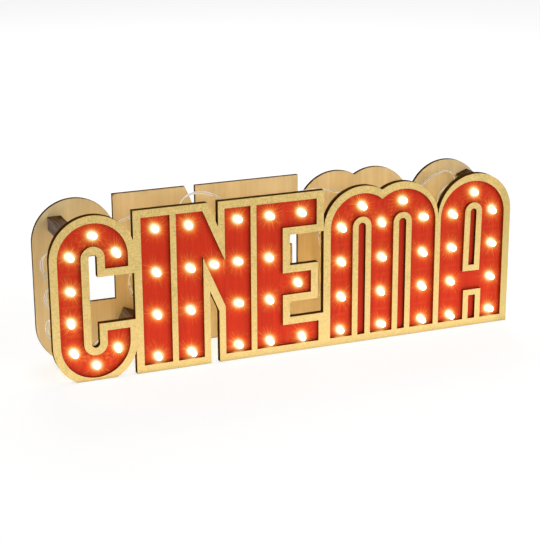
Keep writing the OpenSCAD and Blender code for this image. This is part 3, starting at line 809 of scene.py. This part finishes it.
def lens_mesh(name, radius, tip, rim_radius, rim_end):
    """One bulb turned about Y: a round lens from its tip to its seat at 0, and the rim behind."""
    turns = [math.pi / 2 * i / DOME_STEPS for i in range(DOME_STEPS + 1)]
    dome = [(radius * math.sin(turn), tip + radius * (1 - math.cos(turn))) for turn in turns]
    profile = dome + [(radius, 0), (rim_radius, 0), (rim_radius, rim_end), (0, rim_end)]
    shape = bmesh.new()
    line = [shape.verts.new((r, y, 0)) for r, y in profile]
    edges = [shape.edges.new(pair) for pair in zip(line, line[1:])]
    bmesh.ops.spin(shape, geom=line + edges, cent=(0, 0, 0), axis=(0, 1, 0),
                   angle=2 * math.pi, steps=LENS_STEPS)
    bmesh.ops.remove_doubles(shape, verts=shape.verts, dist=JOIN)
    bmesh.ops.recalc_face_normals(shape, faces=shape.faces)
    mesh = bpy.data.meshes.new(name)
    shape.to_mesh(mesh)
    shape.free()
    smooth(mesh)
    return mesh


def node_group(name, inputs, output):
    """A geometry node tree with its named inputs, by type of socket, and one geometry output."""
    tree = bpy.data.node_groups.new(name, "GeometryNodeTree")
    for label, kind in inputs.items():
        tree.interface.new_socket(label, in_out="INPUT", socket_type="NodeSocket" + kind)
    tree.interface.new_socket(output, in_out="OUTPUT", socket_type="NodeSocketGeometry")
    return tree, put(tree, "NodeGroupInput").outputs


def bulb_nodes():
    """Geometry nodes that set one bulb on every seat, each leaning a little its own way."""
    tree, given = node_group("bulbs_on_seats", {
        "Seats": "Geometry", "Bulb": "Object", "Least lean": "Vector", "Most lean": "Vector",
        "Seed": "Int", "Material": "Material"}, "Bulbs")
    bulb = put(tree, "GeometryNodeObjectInfo", {"Object": given["Bulb"]}).outputs["Geometry"]
    lean = put(tree, "FunctionNodeRandomValue", {
        0: given["Least lean"], 1: given["Most lean"], "Seed": given["Seed"]},
        data_type="FLOAT_VECTOR").outputs[0]
    turn = put(tree, "FunctionNodeEulerToRotation", {"Euler": lean}).outputs[0]
    placed = put(tree, "GeometryNodeInstanceOnPoints", {
        "Points": given["Seats"], "Instance": bulb, "Rotation": turn}).outputs[0]
    whole = put(tree, "GeometryNodeRealizeInstances", {"Geometry": placed}).outputs[0]
    done = put(tree, "GeometryNodeSetMaterial", {
        "Geometry": whole, "Material": given["Material"]}).outputs[0]
    put(tree, "NodeGroupOutput", {"Bulbs": done})
    return tree


def tube_nodes():
    """Geometry nodes that lay a round strand along every path of a mesh of edges."""
    tree, given = node_group("strand_along_path", {
        "Path": "Geometry", "Radius": "Float", "Sides": "Int", "Material": "Material"}, "Strand")
    line = put(tree, "GeometryNodeMeshToCurve", {"Mesh": given["Path"]}).outputs[0]
    ring = put(tree, "GeometryNodeCurvePrimitiveCircle", {
        "Resolution": given["Sides"], "Radius": given["Radius"]}).outputs[0]
    tube = put(tree, "GeometryNodeCurveToMesh", {
        "Curve": line, "Profile Curve": ring, "Fill Caps": True}).outputs[0]
    shaded = put(tree, "GeometryNodeSetShadeSmooth", {"Geometry": tube}).outputs[0]
    whole = put(tree, "GeometryNodeRealizeInstances", {"Geometry": shaded}).outputs[0]
    done = put(tree, "GeometryNodeSetMaterial", {
        "Geometry": whole, "Material": given["Material"]}).outputs[0]
    put(tree, "NodeGroupOutput", {"Strand": done})
    return tree


def grown(name, mesh, tree, given):
    """The plain mesh that geometry nodes make from a mesh, with their named inputs."""
    holder = bpy.data.objects.new(name + "_start", mesh)
    bpy.context.scene.collection.objects.link(holder)
    modifier = holder.modifiers.new(name, "NODES")
    modifier.node_group = tree
    for item in tree.interface.items_tree:
        if item.in_out == "INPUT" and item.name in given:
            modifier[item.identifier] = given[item.name]
    evaluated = holder.evaluated_get(bpy.context.evaluated_depsgraph_get())
    made = bpy.data.meshes.new_from_object(evaluated)
    bpy.data.objects.remove(holder)
    if not made.polygons:
        raise RuntimeError(name + " has no faces")
    return made


def strands(name, paths, radius, sides, material):
    """A mesh of round strands along paths, made by geometry nodes."""
    points = []
    edges = []
    for path in paths:
        first = len(points)
        points += path
        edges += [(first + i, first + i + 1) for i in range(len(path) - 1)]
    lines = bpy.data.meshes.new(name + "_paths")
    lines.from_pydata(points, edges, [])
    tree = bpy.data.node_groups.get("strand_along_path") or tube_nodes()
    return grown(name, lines, tree, {"Radius": radius, "Sides": sides, "Material": material})


def curved(points, steps):
    """A smooth curve through points."""
    line = []
    for i in range(len(points) - 1):
        a, b = points[max(i - 1, 0)], points[i]
        c, d = points[i + 1], points[min(i + 2, len(points) - 1)]
        for j in range(steps):
            t = j / steps
            line.append(0.5 * (2 * b + (c - a) * t + (2 * a - 5 * b + 4 * c - d) * t ** 2
                               + (3 * b - a - 3 * c + d) * t ** 3))
    return line + [points[-1]]


def twisted(line, radius, lay, start):
    """Two strands that turn about a line."""
    pair = ([], [])
    side = start
    run = 0.0
    for i, point in enumerate(line):
        ahead = (line[min(i + 1, len(line) - 1)] - line[max(i - 1, 0)]).normalized()
        side = (side - ahead * side.dot(ahead)).normalized()
        run += (point - line[max(i - 1, 0)]).length
        away = Quaternion(ahead, 2 * math.pi * run / lay) @ side * radius
        pair[0].append(point + away)
        pair[1].append(point - away)
    return pair


def loop_line(start, end, lean, back):
    """Middle line of one loop of wire: a straight leg, half a ring and a leg, leaning aside."""
    across = end - start
    radius = across.length / 2
    unit = across / across.length
    tilt = math.radians(lean)
    out = Vector((-unit.y * math.sin(tilt), math.cos(tilt), unit.x * math.sin(tilt)))
    lift = (WIRE_SEAT + WIRE_R * abs(math.sin(tilt))) / math.cos(tilt)
    leg = min(WIRE_LEG, LOOP_REACH - radius)
    half = raised(unit) * radius
    foot = Vector(((start.x + end.x) / 2, back, (start.y + end.y) / 2))
    middle = foot + out * (lift + leg)
    turns = [math.pi * i / RING_STEPS for i in range(RING_STEPS + 1)]
    rising = [middle - half - out * leg * (1 - i / LEG_STEPS) for i in range(LEG_STEPS)]
    ring = [middle - half * math.cos(turn) + out * radius * math.sin(turn) for turn in turns]
    falling = [middle + half - out * leg * i / LEG_STEPS for i in range(1, LEG_STEPS + 1)]
    return rising + ring + falling


def string_lines():
    """Middle lines of the loops of wire from bulb to bulb."""
    places = bulb_places()
    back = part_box("sleeves_c")[1].y
    last = len(places) - 1
    heading = [(places[min(k + 1, last)] - places[max(k - 1, 0)]).normalized()
               for k in range(last + 1)]
    lines = []
    for k in range(last):
        lean = FAR_LEANS.get(k, LEAN_SWING * math.sin(math.radians(LEAN_STEP * k)))
        lines.append(loop_line(places[k] + heading[k] * WIRE_OFF,
                               places[k + 1] - heading[k + 1] * WIRE_OFF, lean, back))
    return lines


def spring_line(node, wire):
    """Tapered contact spring from its plate to the flat end of a cell."""
    low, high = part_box(node)
    left, right = (corner.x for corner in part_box("contact_springs"))
    if node == TURNED_CELL:
        start, stop = right - wire, high.x + wire
    else:
        start, stop = left + wire, low.x - wire
    middle = (low + high) / 2
    count = int(SPRING_TURNS * SPRING_STEPS)
    line = []
    for i in range(count + 1):
        share = i / count
        radius = SPRING_WIDE + (SPRING_NARROW - SPRING_WIDE) * share
        turn = 2 * math.pi * SPRING_TURNS * share
        line.append(Vector((start + (stop - start) * share,
                            middle.y + radius * math.cos(turn),
                            middle.z + radius * math.sin(turn))))
    return line


# Operators

class SIGN_OT_plates(bpy.types.Operator):
    """Make the face frame, the counter ring, the red panel and the back plate"""

    bl_idname = "sign.plates"
    bl_label = "Plates"

    def execute(self, context):
        sizes = context.scene.sign_sizes
        colours = context.scene.sign_colours
        gold, red, birch = gold_paint(colours), red_paint(colours), birch_plywood(colours, sizes)
        cut = charred_cut("charred_cut", colours.char, colours.brown_cut)
        # The walls inside the windows get painted red light and a painted glow
        lit_cut = charred_cut("lit_cut", colours.char_painted_red_light, colours.brown_painted_red_light, colours.glow)
        for node in ("front_frame", "counter_ring"):
            mesh = windowed_plate(node, 2 * sizes.grid)
            add_piece(node + "_painted", mesh, [node], [gold, birch, cut, lit_cut])
        panel = lit_plate("face_panel", sizes.grid, glows(sizes), sizes.glow_stretch)
        add_piece("face_panel_painted", panel, ["face_panel"], [red, birch, cut])
        back = plate("back_plate", sizes.grid)
        add_piece("back_plate_plywood", back, ["back_plate"],
                  [birch, birch, cut])
        return {"FINISHED"}


class SIGN_OT_blocks(bpy.types.Operator):
    """Finish the wooden blocks between the plates"""

    bl_idname = "sign.blocks"
    bl_label = "Blocks"

    def execute(self, context):
        paint(SPACERS, stained_block(context.scene.sign_colours))
        return {"FINISHED"}


class SIGN_OT_bulbs(bpy.types.Operator):
    """Light the bulbs and finish the clear sleeves behind them"""

    bl_idname = "sign.bulbs"
    bl_label = "Bulbs"

    def execute(self, context):
        sizes = context.scene.sign_sizes
        colours = context.scene.sign_colours
        nodes = ["bulbs_" + letter for letter in LETTER_NODES]
        tip, end = (corner.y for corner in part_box(nodes[0]))
        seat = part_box("face_panel")[1].y
        lens = lens_mesh("bulb", sizes.bulb / 2, tip - seat, sizes.bulb_rim / 2, end - seat)
        holder = bpy.data.objects.new("bulb", lens)
        seats = bpy.data.meshes.new("bulb_seats")
        seats.from_pydata([(place.x, seat, place.y) for place in bulb_places()], [], [])
        mesh = grown("lit_bulbs", seats, bulb_nodes(), {
            "Bulb": holder, "Least lean": sizes.least_lean, "Most lean": sizes.most_lean,
            "Seed": LEAN_SEED, "Material": lit_bulb(colours)})
        bpy.data.objects.remove(holder)
        add_piece("lit_bulbs", mesh, nodes)
        paint(["sleeves_" + letter for letter in LETTER_NODES], clear_sleeve(colours))
        return {"FINISHED"}


class SIGN_OT_wire(bpy.types.Operator):
    """Lay the twin wire from bulb to bulb and on to the switch"""

    bl_idname = "sign.wire"
    bl_label = "Wire"

    def execute(self, context):
        sizes = context.scene.sign_sizes
        clear = clear_wire(context.scene.sign_colours)
        paths = []
        for line in string_lines():
            paths += twisted(line, sizes.strand_gap, sizes.lay, Vector((1, 0.2, 0.3)))
        mesh = strands("string_wire", paths, sizes.strand, LOOP_SIDES, clear)
        nodes = ["wire_" + letter for letter in LETTER_NODES]
        add_piece("string_wire", mesh, nodes)
        route = curved([Vector(point) * MM for point in FEED_ROUTE], FEED_STEPS)
        pair = twisted(route, sizes.strand_gap, sizes.lay, Vector((1, 0, 0)))
        feed = strands("feed_line", pair, sizes.strand, FEED_SIDES, clear)
        add_piece("feed_line", feed, ["feed_wire"])
        return {"FINISHED"}


class SIGN_OT_battery_box(bpy.types.Operator):
    """Finish the battery box, its cover, the foam tape and the switch"""

    bl_idname = "sign.battery_box"
    bl_label = "Battery box"

    def execute(self, context):
        sizes = context.scene.sign_sizes
        colours = context.scene.sign_colours
        plastic = moulded_plastic("box_plastic", colours.case, 1400, 0.42)
        paint(["battery_box", "battery_cover"], plastic)
        paint(["switch_knob"], moulded_plastic("knob_plastic", colours.knob, 1200, 0.35))
        paint(["foam_tape"], moulded_plastic("foam", colours.foam, 2500, 0.8))
        paint(["switch_body"], bright_metal("switch_case", colours.nickel, 0.35))
        for node in ("battery_box", "battery_cover", "switch_knob"):
            soften(node, sizes.round_edge)
        return {"FINISHED"}


class SIGN_OT_cells(bpy.types.Operator):
    """Finish the cells and make their contacts and springs"""

    bl_idname = "sign.cells"
    bl_label = "Cells"

    def execute(self, context):
        colours = context.scene.sign_colours
        wire = context.scene.sign_sizes.spring_wire
        for node in CELLS:
            paint([node], cell_sleeve(node, colours))
        nickel = bright_metal("nickel_plate", colours.nickel, 0.25)
        paint(["contact_plates"], nickel)
        lines = [spring_line(node, wire) for node in CELLS]
        mesh = strands("cell_springs", lines, wire, SPRING_SIDES, nickel)
        add_piece("cell_springs", mesh, ["contact_springs"])
        return {"FINISHED"}


def aimed(place, aim):
    """Turn of a lamp or a camera at a place that looks at a point."""
    return (Vector(aim) - Vector(place)).to_track_quat("-Z", "Y")


def add_lamp(name, place, turn, width, depth, power):
    """A large soft lamp."""
    lamp = bpy.data.lights.new(name, "AREA")
    lamp.energy = power
    lamp.shape = "RECTANGLE"
    lamp.size = width
    lamp.size_y = depth
    holder = bpy.data.objects.new(name, lamp)
    bpy.context.scene.collection.objects.link(holder)
    holder.location = place
    holder.rotation_euler = turn
    return holder


def seen_share(tree):
    """1 for what the camera sees, straight, mirrored or through clear plastic."""
    path = put(tree, "ShaderNodeLightPath").outputs
    mirrored = calc(tree, "MAXIMUM", path["Is Glossy Ray"], path["Is Transmission Ray"])
    return calc(tree, "MAXIMUM", path["Is Camera Ray"], mirrored)


def floor_finish():
    """White floor that keeps a light shadow."""
    material = bpy.data.materials.new("floor_white")
    material.use_nodes = True
    tree = material.node_tree
    tree.nodes.clear()
    plain, soft = (put(tree, "ShaderNodeBsdfDiffuse", {"Color": (grey, grey, grey, 1)}).outputs[0]
                   for grey in (FLOOR_GREY, SHOWN_GREY))
    white = put(tree, "ShaderNodeEmission", {"Color": (1, 1, 1, 1), "Strength": SHOWN_LIGHT})
    shown = put(tree, "ShaderNodeAddShader", {0: soft, 1: white.outputs[0]}).outputs[0]
    both = put(tree, "ShaderNodeMixShader", {0: seen_share(tree), 1: plain, 2: shown}).outputs[0]
    put(tree, "ShaderNodeOutputMaterial", {"Surface": both})
    return material


class SIGN_OT_stage(bpy.types.Operator):
    """Set the floor, the lamps and the camera"""

    bl_idname = "sign.stage"
    bl_label = "Stage"

    def execute(self, context):
        stage = context.scene.sign_stage
        self.floor(context)
        self.room(context, stage.ambient)
        self.lamps(stage)
        self.camera(context, stage)
        return {"FINISHED"}

    def floor(self, context):
        reach = FLOOR_REACH
        corners = [(-reach, -reach, 0), (reach, -reach, 0), (reach, reach, 0), (-reach, reach, 0)]
        mesh = bpy.data.meshes.new("floor")
        mesh.from_pydata(corners, [], [(0, 1, 2, 3)])
        mesh.materials.append(floor_finish())
        floor = bpy.data.objects.new("floor", mesh)
        context.scene.collection.objects.link(floor)
        floor.location.z = -FLOOR_DROP

    def room(self, context, ambient):
        world = bpy.data.worlds.new("studio")
        context.scene.world = world
        world.use_nodes = True
        tree = world.node_tree
        tree.nodes.clear()
        strength = grade(tree, seen_share(tree), 0, 1, ambient, 1.0)
        light = put(tree, "ShaderNodeBackground", {"Color": (1, 1, 1, 1), "Strength": strength})
        put(tree, "ShaderNodeOutputWorld", {"Surface": light.outputs[0]})
        context.scene.view_settings.view_transform = "Standard"

    def lamps(self, stage):
        for name, (place, width, depth) in LAMPS.items():
            turn = aimed(place, LAMP_AIM).to_euler()
            add_lamp(name + "_lamp", place, turn, width, depth, getattr(stage, name))
        for name, (place, width, depth) in FLOOR_LAMPS.items():
            upward = (math.pi, 0, 0)
            lamp = add_lamp(name + "_lamp", place, upward, width, depth, getattr(stage, name))
            # This light is the floor's own, so it lies over the floor unseen and leaves the shadow
            lamp.visible_camera = False
            lamp.visible_glossy = False
            lamp.visible_transmission = False

    def camera(self, context, stage):
        lens = bpy.data.cameras.new("camera")
        lens.lens = stage.lens
        lens.sensor_width = SENSOR
        camera = bpy.data.objects.new("camera", lens)
        context.scene.collection.objects.link(camera)
        turn = aimed(stage.camera, stage.aim) @ Quaternion((0, 0, 1), stage.roll)
        camera.matrix_world = Matrix.Translation(stage.camera) @ turn.to_matrix().to_4x4()
        context.scene.camera = camera


class SIGN_PT_panel(bpy.types.Panel):
    """Lists the steps that dress the sign"""

    bl_idname = "SIGN_PT_panel"
    bl_label = "Marquee Sign"
    bl_space_type = "VIEW_3D"
    bl_region_type = "UI"
    bl_category = "Sign"

    def draw(self, context):
        for operator in OPERATORS:
            self.layout.operator(operator.bl_idname)


GROUPS = {"sign_sizes": SignSizes, "sign_colours": SignColours, "sign_stage": StageSettings}
OPERATORS = [SIGN_OT_stage, SIGN_OT_bulbs, SIGN_OT_plates, SIGN_OT_blocks, SIGN_OT_wire,
             SIGN_OT_battery_box, SIGN_OT_cells]


def register():
    for cls in [*GROUPS.values(), *OPERATORS, SIGN_PT_panel]:
        bpy.utils.register_class(cls)
    for name, group in GROUPS.items():
        setattr(bpy.types.Scene, name, bpy.props.PointerProperty(type=group))


def unregister():
    for name in GROUPS:
        delattr(bpy.types.Scene, name)
    for cls in [SIGN_PT_panel, *reversed(OPERATORS), *GROUPS.values()]:
        bpy.utils.unregister_class(cls)


def main():
    register()
    bpy.ops.sign.stage()
    bpy.ops.sign.bulbs()
    bpy.ops.sign.plates()
    bpy.ops.sign.blocks()
    bpy.ops.sign.wire()
    bpy.ops.sign.battery_box()
    bpy.ops.sign.cells()


if __name__ == "__main__":
    main()
